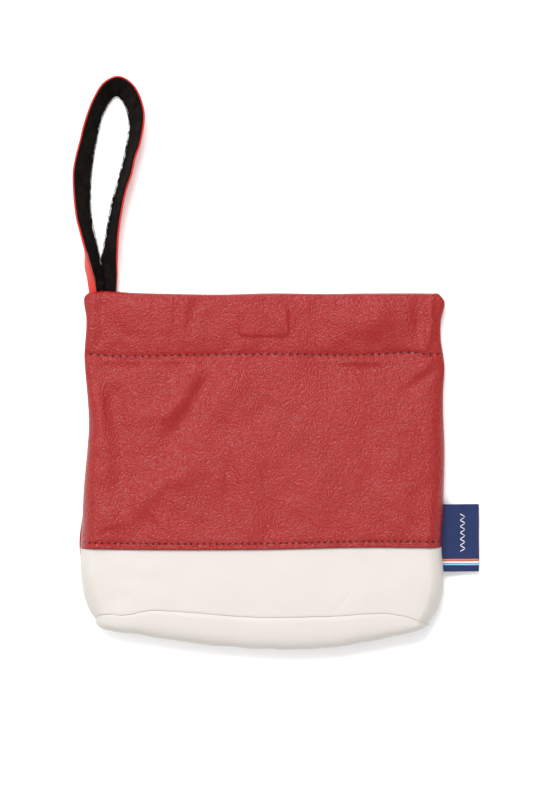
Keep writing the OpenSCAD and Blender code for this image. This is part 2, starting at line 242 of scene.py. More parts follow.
def outline(y, back=0):
    """The left and the right edge at y; the back shows past the front at the lower left."""
    past = back * 1.2 * hump((y + 37) / 10)
    return -HALF_W - curve(LEFT_EDGE, y) - past, HALF_W + curve(RIGHT_EDGE, y)


def stitch_relief(across, phase, depth):
    """Groove along a row of stitches, with the leather puffed up between its needle holes."""
    puff = 0.05 * np.cos(math.tau * phase) * hump(across / 1.5)
    return -depth * hump(across / 1.3) - puff + 0.25 * depth * hump((np.abs(across) - 3.0) / 1.8)


def roof(x, y):
    """Height of the front's outer face, away from its shoulders."""
    folds = sum(fold(x, y, *f) for f in FOLDS)
    # By the facing the leather can't sink or rise as far
    shallow, deepest = fade((y - FACING_END_Y + 6) / 6), 1.4
    folds = folds * (1 - shallow) + shallow * deepest * np.tanh(folds / deepest)
    z = curve(ROOF, y) + folds
    body = fade((y - BAND_Y + 4) / 8)
    z = z + (0.15 + 0.3 * body) * ripple(x, y, 34, 1) + (0.03 + 0.1 * body) * ripple(x, y, 13, 2)
    hem = fade((y - HEM_STITCH_Y) / 5)
    z = z + hem * 0.2 * ripple(x, y, 10, 3, 0.5) + (1 - hem) * 0.04 * body * ripple(x, y, 8, 4)
    for k, (dx, dy, half_x, half_y, edge, height, crown) in enumerate(MAGNETS):
        mx, my = x - (k - 1) * MAGNET_PITCH - dx, y - MAGNET_Y - dy
        z = z + height * plateau(mx, my, half_x, half_y, edge)
        z = z + crown * hump(mx / half_x) * hump(my / half_y)
    z = z + stitch_relief(y - hem_line(x), x / HEM_PITCH, 0.5)
    z = z + stitch_relief(y - band_line(x), x / BAND_PITCH, 0.25)
    # The corners of the base are flatter
    near_side = hump((HALF_W - np.abs(x)) / 12) * fade((-55 - y) / 30)
    return z - 5 * near_side


def shoulder_rise(inward):
    """Height over a shoulder: round at the seam, then a slope up to a soft crease."""
    return 0.9 * np.sqrt(1 - (1 - inward) ** 2) + 0.1 * inward


class Columns:
    """Columns of a sheet from side seam to side seam: share of the left edge, shoulder and seam curl."""

    def __init__(self, step, curl=True, around=9):
        turn = np.radians([90, 60, 30] if curl else [])
        shoulder = np.linspace(0, math.pi / 2, around, endpoint=False)
        inner = int(round(2 * (HALF_W - SHOULDER) / step))
        edge_turn = np.concatenate([turn, 0 * shoulder])
        edge_in = np.concatenate([0 * turn, 1 - np.cos(shoulder)])
        self.share = np.concatenate([0 * edge_in + 1, np.linspace(1, 0, inner + 1), 0 * edge_in])
        self.inward = np.concatenate([edge_in, np.ones(inner + 1), edge_in[::-1]])
        self.turn = np.concatenate([edge_turn, np.zeros(inner + 1), edge_turn[::-1]])
        self.rise = shoulder_rise(self.inward)
        self.count = len(self.share)

    def across(self, y, shoulder, inset=0.0, back=0):
        """Place across the pouch of each column, where y has a value for each row and column."""
        left, right = outline(y, back)
        off = inset + self.inward * (shoulder - inset) + SEAM_IN * (1 - np.cos(self.turn))
        return self.share * (left + off) + (1 - self.share) * (right - off)


def front_face(cols, y, under=0.0, inset=0.0, foot=None):
    """The front's face, under millimetres below its outer one; y has a value for each row and column."""
    x = cols.across(y, SHOULDER, inset)
    low = FRONT_WIDEST if foot is None else foot
    z = low - (FRONT_WIDEST - SEAM_Z - HALF_GAP) * np.sin(cols.turn) + cols.rise * (roof(x, y) - under - low)
    if under == 0:
        from_edge = y - band_edge(x)
        z = z + cols.rise * (0.4 * hump((from_edge - 0.7) / 0.7) - 0.15 * hump((from_edge - 2.0) / 0.6))
    return np.stack([x, y + 0 * x, z], -1)


def back_face(cols, y, under=0.0, inset=0.0, foot=None):
    """The back's face, lying on the ground or under millimetres above its outer one."""
    x = cols.across(y, BACK_EDGE + inset, inset, back=1)
    high = BACK_WIDEST if foot is None else foot
    relief = 0.12 + 0.1 * ripple(x, y, 22, 5)
    relief = relief + 0.35 * hump((y - hem_line(x)) / 1.6) + 0.25 * hump((y - band_line(x)) / 1.6)
    flat = under + np.maximum(relief, 0.02)
    z = flat + (high - flat) * (1 - cols.rise) + (SEAM_Z - HALF_GAP - BACK_WIDEST) * np.sin(cols.turn)
    return np.stack([x, y + 0 * x, z], -1)


def rows_between(start, end, coarse, fine, places, reach):
    """Row positions from start down to end, closer together within reach of the given places."""
    out = [start]
    while out[-1] > end:
        near = min([abs(out[-1] - p) for p in places] + [1e9])
        out.append(out[-1] - (fine if near < reach else coarse))
    out = np.array(out)
    return start + (out - start) * (end - start) / (out[-1] - start)


def seam_line(x):
    """The seam of the base, gathered a little at its left."""
    gather = 0.14 * np.sin(x * 0.9) * fade((-46 - x) / 20) + 0.05 * np.sin(x * 0.5)
    return curve(BASE_SEAM, x) + gather


def mouth_line(x):
    """The front's edge at the mouth."""
    return curve(MOUTH_EDGE, x) + 0.12 * ripple(x, 0 * x, 40, 6)


# ---------------------------------------------------------------- meshes


def normals(grid):
    """Unit normals of a grid of points, on its outer side."""
    across = np.gradient(grid, axis=1)
    along = np.gradient(grid, axis=0)
    n = np.cross(along, across)
    return n / np.maximum(np.linalg.norm(n, axis=-1, keepdims=True), 1e-9)


def quads(index):
    """Faces between the rows and columns of a grid of point numbers."""
    return np.stack([index[:-1, :-1], index[1:, :-1], index[1:, 1:], index[:-1, 1:]], -1).reshape(-1, 4)


def shell(grid, thick, bulge=0.2, cut=None):
    """Points, faces and face groups (0 outer, 1 edge, 2 inner) of a closed sheet with rounded edges.

    thick may differ from point to point; the edge after the last row stands out by cut instead of bulge.
    """
    n = normals(grid)
    thick = np.broadcast_to(thick, grid.shape[:2])[..., None]
    under = grid - n * thick
    count = grid.shape[0] * grid.shape[1]
    index = np.arange(count).reshape(grid.shape[:2])
    ring = np.concatenate([index[0, :-1], index[:-1, -1], index[-1, :0:-1], index[:0:-1, 0]])
    top, low, up = grid.reshape(-1, 3)[ring], under.reshape(-1, 3)[ring], n.reshape(-1, 3)[ring]
    out = np.cross(up, np.roll(top, -1, 0) - np.roll(top, 1, 0))
    out /= np.maximum(np.linalg.norm(out, axis=1, keepdims=True), 1e-9)
    points = [grid.reshape(-1, 3), under.reshape(-1, 3)]
    faces = [quads(index), quads(index + count)[:, ::-1]]
    groups = [0 * faces[0][:, 0], 0 * faces[1][:, 0] + 2]
    row, side = grid.shape[1] - 1, grid.shape[0] - 1
    reach = np.full((len(ring), 1), float(bulge))
    reach[row + side:2 * row + side] = bulge if cut is None else cut
    reach = reach * thick.reshape(-1, 1)[ring]
    before = ring
    for k, turn in enumerate(np.radians([45, 90, 135])):
        mix = (1 - math.cos(turn)) / 2
        points.append(top * (1 - mix) + low * mix + out * reach * math.sin(turn))
        this = 2 * count + k * len(ring) + np.arange(len(ring))
        faces.append(np.stack([before, np.roll(before, -1), np.roll(this, -1), this], -1))
        before = this
    last = ring + count
    faces.append(np.stack([before, np.roll(before, -1), np.roll(last, -1), last], -1))
    groups += [0 * f[:, 0] + 1 for f in faces[2:]]
    return np.concatenate(points), np.concatenate(faces), np.concatenate(groups)


def piece(name, points, faces, materials, groups=None, flat=None, smooth=True, stitch=None):
    """New mesh object from points in millimetres.

    flat holds the sheet's own coordinates for its textures, and stitch those about the nearest stitches.
    """
    mesh = bpy.data.meshes.new(name)
    faces = faces if isinstance(faces, list) else faces.tolist()
    mesh.from_pydata((np.asarray(points) * MM).tolist(), [], faces)
    mesh.polygons.foreach_set("use_smooth", np.full(len(mesh.polygons), smooth))
    for m in materials:
        mesh.materials.append(m)
    if groups is not None:
        mesh.polygons.foreach_set("material_index", np.asarray(groups, np.int32))
    vectors = {"flat": points if flat is None else flat, "stitch": stitch}
    for key, value in vectors.items():
        if value is not None:
            layer = mesh.attributes.new(key, "FLOAT_VECTOR", "POINT")
            layer.data.foreach_set("vector", np.asarray(value, np.float32).ravel())
    mesh.update()
    obj = bpy.data.objects.new(name, mesh)
    bpy.context.scene.collection.objects.link(obj)
    return obj


# The inner face's part of the textures lies this far from the outer one's, and far from every stitch
INNER_FLAT = 40
NO_STITCH = 50


def sheet_piece(name, grid, thick, materials, bulge=0.2, cut=None, stitched=False):
    """Closed leather or cloth sheet as a piece, with sticky coordinates along the sheet."""
    points, faces, groups = shell(grid, thick, bulge, cut)
    run = np.zeros(grid.shape[:2])
    run[1:] = np.cumsum(np.linalg.norm(np.diff(grid, axis=0), axis=-1).mean(1))[:, None]
    outer = np.stack([grid[..., 0], -run, 0 * run], -1).reshape(-1, 3)
    flat = np.concatenate([outer, outer + [0, 0, INNER_FLAT], points[2 * len(outer):]])
    stitch = None
    if stitched:
        hem = points[:, 1] - hem_line(points[:, 0])
        band = points[:, 1] - band_line(points[:, 0])
        near_hem = np.abs(hem) < np.abs(band)
        pitch = np.where(near_hem, HEM_PITCH, BAND_PITCH)
        stitch = np.stack([points[:, 0] / pitch, np.where(near_hem, hem, band), pitch], -1)
        stitch[len(outer):2 * len(outer), 1] = NO_STITCH
    slots = np.minimum(groups, len(materials) - 1)
    return piece(name, points, faces, materials, slots, flat, stitch=stitch)


def thread_row(name, starts, ends, ups, material, radius=THREAD_R, sink=0.45):
    """Stitches of twisted thread, each dipping into the leather at its two needle holes."""
    rings, sides, plies = 13, 12, 3
    s = np.linspace(0, 1, rings)
    a = np.linspace(0, math.tau, sides, endpoint=False)
    along = ends - starts
    length = np.linalg.norm(along, axis=1)[:, None]
    along = along / length
    side = np.cross(along, ups)
    side /= np.linalg.norm(side, axis=1)[:, None]
    ups = np.cross(side, along)
    arch = (np.sin(math.pi * s) ** 0.45) * (sink + 0.12) - sink
    centre = starts[:, None] + (along * length)[:, None] * s[None, :, None]
    centre = centre + ups[:, None] * arch[None, :, None]
    twist = 1 + 0.13 * np.cos(plies * a[None, None] - 5.5 * (s[None, :, None] * length[:, None]))
    r = radius * twist
    ring = side[:, None, None] * (np.cos(a) * r)[..., None] + ups[:, None, None] * (np.sin(a) * r)[..., None]
    points = (centre[:, :, None] + ring).reshape(-1, 3)
    faces = []
    for k in range(len(starts)):
        index = np.arange(k * rings * sides, (k + 1) * rings * sides).reshape(rings, sides)
        closed = np.concatenate([index, index[:, :1]], 1)
        faces += quads(closed).tolist() + [index[0].tolist(), index[-1, ::-1].tolist()]
    return piece(name, points, faces, [material])


# ---------------------------------------------------------------- materials


class Nodes:
    """Short calls that add and join shader nodes."""

    def __init__(self, name):
        self.material = bpy.data.materials.new(name)
        self.material.use_nodes = True
        self.tree = self.material.node_tree
        self.shader = self.tree.nodes["Principled BSDF"]

    def add(self, kind, inputs=None, **settings):
        node = self.tree.nodes.new("ShaderNode" + kind)
        for key, value in settings.items():
            setattr(node, key, value)
        for key, value in (inputs or {}).items():
            if isinstance(value, bpy.types.NodeSocket):
                self.tree.links.new(value, node.inputs[key])
            else:
                node.inputs[key].default_value = value
        return node

    def flat(self, scale=(1, 1, 1), turn=0.0, key="flat"):
        """The piece's own coordinates, in millimetres along the sheet."""
        source = self.add("Attribute", attribute_name=key).outputs["Vector"]
        if turn == 0 and tuple(scale) == (1, 1, 1):
            return source
        return self.add("Mapping", {"Vector": source, "Rotation": (0, 0, turn), "Scale": scale}).outputs[0]

    def noise(self, vector, scale, detail=3.0, rough=0.5):
        inputs = {"Vector": vector, "Scale": scale, "Detail": detail, "Roughness": rough}
        return self.add("TexNoise", inputs).outputs[0]

    def math(self, operation, a, b=0.0, c=0.0):
        return self.add("Math", {0: a, 1: b, 2: c}, operation=operation).outputs[0]

    def remap(self, value, low, high, to_low, to_high):
        return self.add("MapRange", {"Value": value, "From Min": low, "From Max": high,
                                     "To Min": to_low, "To Max": to_high}).outputs[0]

    def blend(self, factor, a, b, mode="MIX"):
        node = self.add("Mix", data_type="RGBA", blend_type=mode)
        for socket, value in ((node.inputs[0], factor), (node.inputs[6], a), (node.inputs[7], b)):
            if isinstance(value, bpy.types.NodeSocket):
                self.tree.links.new(value, socket)
            else:
                socket.default_value = value if isinstance(value, float) else (*value, 1)
        return node.outputs[2]

    def bump(self, height, distance, strength=1.0):
        inputs = {"Height": height, "Distance": distance * MM, "Strength": strength}
        return self.add("Bump", inputs).outputs[0]

    def finish(self, colour, rough, normal, **plain):
        """Joins the shader's main inputs, sets the plain ones by name and gives the material."""
        self.tree.links.new(colour, self.shader.inputs["Base Color"])
        if isinstance(rough, float):
            self.shader.inputs["Roughness"].default_value = rough
        else:
            self.tree.links.new(rough, self.shader.inputs["Roughness"])
        self.tree.links.new(normal, self.shader.inputs["Normal"])
        for key, value in plain.items():
            self.shader.inputs[key.replace("_", " ")].default_value = value
        return self.material


# Leather pebbles to the millimetre
PEBBLES = 0.95
# Distance from the end of a stitch at which its needle hole is at full depth and full painted shade, and
# where the hole and its painted shade end
HOLE_R = 0.25
HOLE_END = 0.6


def leather(name, colour, pore, shine, grain=1.0, holes=False):
    """Grained leather: pebbles about a millimetre across, short wrinkles, pores and slow colour variation."""
    n = Nodes(name)
    place = n.flat()
    shift = n.add("TexNoise", {"Vector": place, "Scale": 0.5, "Detail": 2.0}).outputs["Color"]
    warp = n.add("VectorMath", {0: shift, 1: (1.2, 1.2, 0)}, operation="MULTIPLY").outputs[0]
    bent = n.add("VectorMath", {0: place, 1: warp}, operation="ADD").outputs[0]
    pebble = n.add("TexVoronoi", {"Vector": bent, "Scale": PEBBLES, "Smoothness": 0.3, "Randomness": 1.0},
                   feature="SMOOTH_F1").outputs["Distance"]
    crack = n.add("TexVoronoi", {"Vector": bent, "Scale": PEBBLES, "Randomness": 1.0},
                  feature="DISTANCE_TO_EDGE").outputs["Distance"]
    slant = n.noise(n.flat((0.8, 0.35, 1), 0.9), 1.0, 2.0, 0.5)
    fine = n.noise(place, 3.2, 3.0, 0.6)
    slow = n.noise(place, 0.035, 2.0, 0.5)
    height = n.math("ADD", n.math("MULTIPLY", pebble, -1.0), n.math("MULTIPLY", slant, 1.0))
    height = n.math("ADD", height, n.remap(crack, 0.0, 0.1, -0.12, 0.0))
    height = n.math("ADD", height, n.math("MULTIPLY", fine, 0.08))
    base = n.blend(n.remap(crack, 0.0, 0.12, 0.0, 1.0), pore, colour)
    base = n.blend(n.remap(slow, 0.35, 0.65, 0.0, 0.12), base, pore)
    # Needle holes sink into the bump, and painted shade darkens the colour in them
    if holes:
        at = n.add("SeparateXYZ", {0: n.flat(key="stitch")})
        dx = n.math("MULTIPLY", n.math("PINGPONG", n.math("ADD", at.outputs[0], 0.5), 0.5), at.outputs[2])
        square_x, square_y = n.math("MULTIPLY", dx, dx), n.math("MULTIPLY", at.outputs[1], at.outputs[1])
        away = n.math("SQRT", n.math("ADD", square_x, square_y))
        hole_and_shade = n.remap(away, HOLE_R, HOLE_END, 1.0, 0.0)
        # Painted shade in the needle holes: the colour falls to 0.12 of the leather's
        base = n.blend(hole_and_shade, base, tuple(0.12 * c for c in colour))
        height = n.math("SUBTRACT", height, n.math("MULTIPLY", hole_and_shade, 2.5))
    rough = n.remap(fine, 0.3, 0.7, shine - 0.04, shine + 0.06)
    return n.finish(base, rough, n.bump(height, 0.31 * grain, 1.0), Specular_IOR_Level=0.30)


def plain_cloth(name, colour, dark, threads=2.2):
    """Plain weave of fine threads."""
    n = Nodes(name)
    place = n.flat()
    at = n.add("SeparateXYZ", {0: place})
    warp = n.math("SINE", n.math("MULTIPLY", at.outputs[0], math.tau * threads / 2))
    weft = n.math("SINE", n.math("MULTIPLY", at.outputs[1], math.tau * threads / 2))
    weave = n.math("MULTIPLY", warp, weft)
    soft = n.noise(place, 0.8, 3.0, 0.6)
    height = n.math("ADD", weave, n.math("MULTIPLY", soft, 0.8))
    base = n.blend(n.remap(height, -0.8, 1.4, 0.0, 1.0), dark, colour)
    return n.finish(base, 0.85, n.bump(height, 0.09, 0.7), Sheen_Weight=0.15)


def raw_edge(name, colour, dark):
    """Cut edge or flesh side of leather: fibrous and dull."""
    n = Nodes(name)
    place = n.flat()
    fibre = n.noise(place, 2.4, 4.0, 0.65)
    base = n.blend(n.remap(fibre, 0.35, 0.7, 0.0, 1.0), dark, colour)
    return n.finish(base, 0.9, n.bump(fibre, 0.2, 0.8), Sheen_Weight=0.1)


def suede_cloth(name, colour, light):
    """Napped suede with rubbed patches."""
    n = Nodes(name)
    place = n.flat()
    nap = n.noise(place, 1.6, 5.0, 0.7)
    patch = n.noise(place, 0.25, 2.0, 0.5)
    base = n.blend(n.remap(n.math("MULTIPLY", nap, patch), 0.18, 0.42, 0.0, 1.0), colour, light)
    return n.finish(base, 0.95, n.bump(nap, 0.6, 0.9), Specular_IOR_Level=0.06)


def thread_look(name, colour, dark):
    """Sewing thread."""
    n = Nodes(name)
    place = n.flat()
    fibre = n.noise(place, 6.0, 2.0, 0.6)
    base = n.blend(n.remap(fibre, 0.3, 0.7, 0.0, 1.0), dark, colour)
    return n.finish(base, 0.6, n.bump(fibre, 0.05, 0.6))


def woven_label(name, colour, dark):
    """Satin weave of the label: fine ribs along its width."""
    n = Nodes(name)
    place = n.flat()
    at = n.add("SeparateXYZ", {0: place})
    rib = n.math("SINE", n.math("MULTIPLY", at.outputs[1], math.tau * 2.6))
    pick = n.math("SINE", n.math("ADD", n.math("MULTIPLY", at.outputs[0], math.tau * 1.7),
                                 n.math("MULTIPLY", at.outputs[1], 4.1)))
    height = n.math("ADD", rib, n.math("MULTIPLY", pick, 0.5))
    base = n.blend(n.remap(height, -1.2, 1.4, 0.0, 1.0), dark, colour)
    return n.finish(base, 0.6, n.bump(height, 0.06, 0.7), Specular_IOR_Level=0.25)


def steel_look(name):
    """Brushed steel of the magnets."""
    n = Nodes(name)
    place = n.flat((1, 8, 1))
    brushed = n.noise(place, 1.2, 3.0, 0.6)
    base = n.blend(n.remap(brushed, 0.3, 0.7, 0.0, 1.0), (0.42, 0.42, 0.44), (0.6, 0.6, 0.62))
    return n.finish(base, n.remap(brushed, 0.3, 0.7, 0.25, 0.4), n.bump(brushed, 0.03, 0.5), Metallic=1.0)


red_leather = leather("red_leather", (0.258, 0.0066, 0.0052), (0.175, 0.0046, 0.0037), 0.35, holes=True)
red_edge = raw_edge("red_leather_edge", (0.20, 0.022, 0.02), (0.10, 0.012, 0.012))
red_flesh = raw_edge("red_leather_flesh", (0.34, 0.06, 0.05), (0.22, 0.03, 0.03))
white_leather = leather("white_leather", (0.475, 0.446, 0.416), (0.458, 0.428, 0.396), 0.46, grain=0.09)
white_edge = raw_edge("white_leather_edge", (0.42, 0.36, 0.29), (0.32, 0.27, 0.21))
strap_red = leather("strap_leather_red", (0.44, 0.012, 0.007), (0.34, 0.009, 0.005), 0.5, grain=0.5)
strap_edge = raw_edge("strap_leather_edge", (0.56, 0.025, 0.015), (0.38, 0.015, 0.01))
black_suede = suede_cloth("black_suede", (0.0035, 0.0025, 0.002), (0.014, 0.010, 0.008))
dark_thread = thread_look("dark_thread", (0.028, 0.003, 0.004), (0.010, 0.0015, 0.002))
lining_cloth = plain_cloth("lining_cloth", (0.62, 0.55, 0.46), (0.42, 0.36, 0.30))
sleeve_cloth = plain_cloth("sleeve_cloth", (0.78, 0.77, 0.73), (0.55, 0.54, 0.50), 1.6)
magnet_steel = steel_look("magnet_steel")
label_navy = woven_label("label_navy", (0.012, 0.026, 0.105), (0.006, 0.014, 0.06))
label_orange = woven_label("label_orange", (0.85, 0.20, 0.02), (0.55, 0.12, 0.01))
label_white = woven_label("label_white", (0.85, 0.85, 0.85), (0.55, 0.55, 0.58))
label_blue = woven_label("label_blue", (0.27, 0.52, 0.80), (0.16, 0.34, 0.55))

# ---------------------------------------------------------------- front


def on_front(obj):
    """Bakes a piece of the front half into its own frame and reads its points."""
    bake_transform(obj)
    points = np.zeros(3 * len(obj.data.vertices), np.float32)
    obj.data.vertices.foreach_get("co", points)


# Rough lengths of a red panel and of a white band, which turn the spacing of rows into a share
PANEL_RUN = 140
BAND_RUN = 45


def hemmed(cols, face, facing_z, mouth, low_edge, coarse, fine):
    """Rows of a panel that is folded over at the mouth: up the facing, round the fold and down outside."""
    x = cols.across(np.full(cols.count, MOUTH_Y - 4.0), SHOULDER)
    top, low = mouth(x), low_edge(x)
    gap = np.abs(face(cols, top[None] - FOLD_DEPTH)[0, :, 2] - facing_z(top - FOLD_DEPTH, cols.rise))
    depth = np.minimum(FOLD_DEPTH, 0.25 + 0.52 * gap)
    fold_y = top - depth
    facing_rows, fold_rows = 15, 11
    facing_y = np.linspace(0, 1, facing_rows)[:, None] * (fold_y - FACING_END_Y)[None] + FACING_END_Y
    facing_x = cols.across(facing_y, SHOULDER, FACING_IN)
    facing = np.stack([facing_x, facing_y, facing_z(facing_y, cols.rise)], -1)
    outer_start = face(cols, np.broadcast_to(fold_y, (1, cols.count)))
    turn = np.radians(np.linspace(0, 180, fold_rows))[1:-1, None]
    mix = (1 - np.cos(turn))[..., None] / 2
    round_fold = facing[-1:] * (1 - mix) + outer_start * mix
    round_fold[..., 1] += np.sin(turn) * depth
    stitch_rows = [(HEM_STITCH_Y - BAND_Y) / (MOUTH_Y - BAND_Y), (BAND_STITCH_Y - BAND_Y) / PANEL_RUN]
    share = rows_between(1.0, 0.0, coarse / PANEL_RUN, fine / PANEL_RUN, stitch_rows, 3.5 / PANEL_RUN)
    outside = face(cols, low[None] + (fold_y - low)[None] * share[:, None])
    return np.concatenate([facing, round_fold, outside])


def front_facing_z(y, rise):
    """Underside of the front's facing: level by the magnets, and up at its foot."""
    level = curve([(FACING_END_Y, 6.2), (66, 6.1), (71.4, FACING_Z), (98, FACING_Z)], y)
    return SEAM_Z + FACING_GAP + (level - SEAM_Z - FACING_GAP) * fade(rise * 1.6)


def back_facing_z(y, rise):
    """Top of the back's facing."""
    level = curve([(FACING_END_Y, 2.5), (66, 2.5), (71.4, BACK_FACING_TOP), (98, BACK_FACING_TOP)], y)
    return SEAM_Z - FACING_GAP + (level - SEAM_Z + FACING_GAP) * fade(rise * 1.6)


front_cols = Columns(0.95)
front_leather = sheet_piece(
    "front_leather",
    hemmed(front_cols, front_face, front_facing_z, mouth_line, band_edge, 0.9, 0.4),
    LEATHER, [red_leather, red_edge, red_flesh], cut=0.5, stitched=True)
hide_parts("front_panel", "front_facing")


def white_face(cols, y):
    """White band of the front, one leather below the red panel, with its lower edge tucked into the seam."""
    points = front_face(cols, y, UNDER)
    depth = y - seam_line(points[..., 0])
    points[..., 2] -= cols.rise * 0.2 * hump(depth / 0.6)
    return points


def band_rows(cols, top_y, coarse, fine):
    """Rows of a sheet that reaches from top_y down to the seam of the base."""
    share = rows_between(1.0, 0.0, coarse / BAND_RUN, fine / BAND_RUN, [0.0], 4 / BAND_RUN)
    x = cols.across(np.full(cols.count, -80.0), SHOULDER)
    low = seam_line(x)
    return low[None] + (top_y - low)[None] * share[:, None]


def skived(grid):
    """Thickness of the white leather, pared down where three pieces meet at the ends of the base seams."""
    end_x, below, thinnest = 92.5, 5.3, 0.2
    away = np.hypot(np.abs(grid[..., 0]) - end_x, grid[..., 1] - SEAM_Y + below)
    return thinnest + (LEATHER - thinnest) * fade((away - 1) / 6)


front_white_grid = white_face(front_cols, band_rows(front_cols, LAP_Y, 0.95, 0.4))
front_white = sheet_piece("front_white_leather", front_white_grid, skived(front_white_grid),
                          [white_leather, white_edge, white_edge])
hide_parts("front_base_band")

# ---------------------------------------------------------------- back


def back_mouth(x):
    """The back's edge at the mouth, which shows past the front's."""
    return mouth_line(x) + 0.6 * fade((HALF_W - 1 - np.abs(x)) / 4)


def back_band_edge(x):
    """The lower edge of the back's red panel, which shows past the front at the lower left."""
    return band_edge(x) - 4.2 * hump((x + HALF_W) / 8)


back_grid = hemmed(front_cols, back_face, back_facing_z, back_mouth, back_band_edge, 1.5, 0.6)[:, ::-1]
back_leather = sheet_piece("back_leather", back_grid, LEATHER, [red_leather, red_edge, red_flesh],
                           stitched=True)
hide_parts("back_panel", "back_facing")


def back_white_face(cols, y):
    """White band of the back, above the red panel where they lap and near the ground below it."""
    points = back_face(cols, y, 0.55, 0.55, BACK_WIDEST)
    lapped = fade((y - back_band_edge(points[..., 0]) + 1.5) / 1.5)
    points[..., 2] += lapped * cols.rise * 0.75 - (1 - lapped) * cols.rise * 0.5
    return points


back_white_grid = back_white_face(front_cols, band_rows(front_cols, LAP_Y, 1.5, 0.6))
back_white = sheet_piece("back_white_leather", back_white_grid[:, ::-1], skived(back_white_grid[:, ::-1]),
                         [white_leather, white_edge, white_edge])
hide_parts("back_base_band")

# ---------------------------------------------------------------- base


def base_grid(top, low, rows, inside=0.0):
    """Lens-shaped base between its front and back seams, bulging towards -Y."""
    turn = np.linspace(0, math.pi, rows)[:, None]
    x = top[:, 0]
    bulge = np.maximum(top[:, 1] - curve(BASE_EDGE, x) - inside, 0.4)
    mix = ((1 - np.cos(turn)) / 2) ** 1.25
    grid = top[None] * (1 - mix[..., None]) + low[None] * mix[..., None]
    crown = np.sin(turn) ** 0.62
    grid[..., 1] -= bulge[None] * crown
    crumple = 0.25 * ripple(x[None], grid[..., 2], 24, 7) + 0.3 * hump((x[None] - 4) / 2.5) * np.sin(turn)
    grid[..., 1] += crumple * np.sin(turn) * fade((HALF_W - 8 - np.abs(x)) / 20)[None]
    return grid


seam_top = front_white_grid[-1] + np.array([0, 0.25, -0.3])
seam_low = back_white_grid[-1] + np.array([0, 0.3, 0.25])
base_outer = base_grid(seam_top, seam_low, 41)
base_leather = sheet_piece("base_leather", base_outer, skived(base_outer),
                           [white_leather, white_edge, white_edge])
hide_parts("base_panel")

# ---------------------------------------------------------------- lining

# How far the linings lie inside the front's face and the side edges
LINING_UNDER = 2 * UNDER + 0.45
LINING_IN = 2 * UNDER + 0.5

lining_cols = Columns(2.4, curl=False, around=7)
lining_y = band_rows(lining_cols, LINING_END_Y, 1.2, 1.2)
front_lining_grid = front_face(lining_cols, lining_y, LINING_UNDER, LINING_IN, SEAM_Z + 0.2)
front_lining = sheet_piece("front_cloth_lining", front_lining_grid, LINING, [lining_cloth])
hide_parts("front_lining")
back_lining_grid = back_face(lining_cols, lining_y, UNDER + 0.65, LINING_IN, SEAM_Z - 0.3)
back_lining = sheet_piece("back_cloth_lining", back_lining_grid[:, ::-1], LINING, [lining_cloth])
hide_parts("back_lining")
below_seam = np.array([0, -0.4, 0])
base_lining_grid = base_grid(front_lining_grid[-1] + below_seam, back_lining_grid[-1] + below_seam, 21, 1.6)
base_lining = sheet_piece("base_cloth_lining", base_lining_grid, LINING, [lining_cloth])
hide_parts("base_lining")

# ---------------------------------------------------------------- stitches


def front_point(x, y):
    """Point of the front's outer face, its shoulders included."""
    left, right = outline(y)
    off = np.clip(np.minimum(x - left, right - x), 0.05, SHOULDER) / SHOULDER
    rise = shoulder_rise(off)
    return np.stack([x, y, FRONT_WIDEST + rise * (roof(x, y) - FRONT_WIDEST)], -1)


def front_stitches(name, line, pitch, node):
    """Stitches from side seam to side seam of the front."""
    first, last = math.ceil((-HALF_W + 0.4) / pitch), math.floor((HALF_W - 1.6) / pitch)
    x0 = (np.arange(first, last) + STITCH_START) * pitch
    x1 = x0 + STITCH_SHARE * pitch
    start, end = front_point(x0, line(x0)), front_point(x1, line(x1))
    tilt = front_point((x0 + x1) / 2 + 0.3, line(x0)) - front_point((x0 + x1) / 2 - 0.3, line(x0))
    ups = np.stack([-tilt[:, 2], 0 * x0, tilt[:, 0]], -1)
    lift = 0.06 * ups / np.linalg.norm(ups, axis=1)[:, None]
    row = thread_row(name, start + lift, end + lift, ups, dark_thread)
    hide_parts(node)
    return row


hem_thread = front_stitches("front_hem_thread", hem_line, HEM_PITCH, "front_hem_stitching")
band_thread = front_stitches("front_band_thread", band_line, BAND_PITCH, "front_band_stitching")


def back_stitches(name, line, pitch, node):
    """Stitches of the back, in the groove that keeps them off the ground."""
    groove = 0.32
    count = math.floor((HALF_W - BACK_EDGE) / pitch)
    x0 = (np.arange(-count, count) + STITCH_START) * pitch
    x1 = x0 + STITCH_SHARE * pitch
    start = np.stack([x0, line(x0), 0 * x0 + groove], -1)
    end = np.stack([x1, line(x1), 0 * x0 + groove], -1)
    row = thread_row(name, start, end, np.tile([0.0, 0.0, -1.0], (len(x0), 1)), dark_thread)
    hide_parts(node)
    return row


back_hem_thread = back_stitches("back_hem_thread", hem_line, HEM_PITCH, "back_hem_stitching")
back_band_thread = back_stitches("back_band_thread", band_line, BAND_PITCH, "back_band_stitching")

# ---------------------------------------------------------------- magnets in their sleeves


def node_material(node, material):
    """Gives a CAD node that stays in the picture its material."""
    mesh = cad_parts[node].data
    mesh.materials.clear()
    mesh.materials.append(material)


def copy_of(node, material):
    """Copy of a CAD node's mesh as a piece of its own."""
    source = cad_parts[node].data
    points = np.zeros(3 * len(source.vertices))
    source.vertices.foreach_get("co", points)
    faces = [list(p.vertices) for p in source.polygons]
    obj = piece(node + "_soft", points.reshape(-1, 3) / MM, faces, [material], smooth=False)
    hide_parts(node)
    return obj


for place in ("left", "mid", "right"):
    for kind, material, slot_name in (("sleeve", sleeve_cloth, "sleeve_cloth"),
                                      ("magnet", magnet_steel, "magnet_steel")):
        node_material(f"back_{kind}_{place}", material)
        on_front(copy_of(f"front_{kind}_{place}", material))

# ---------------------------------------------------------------- wrist strap

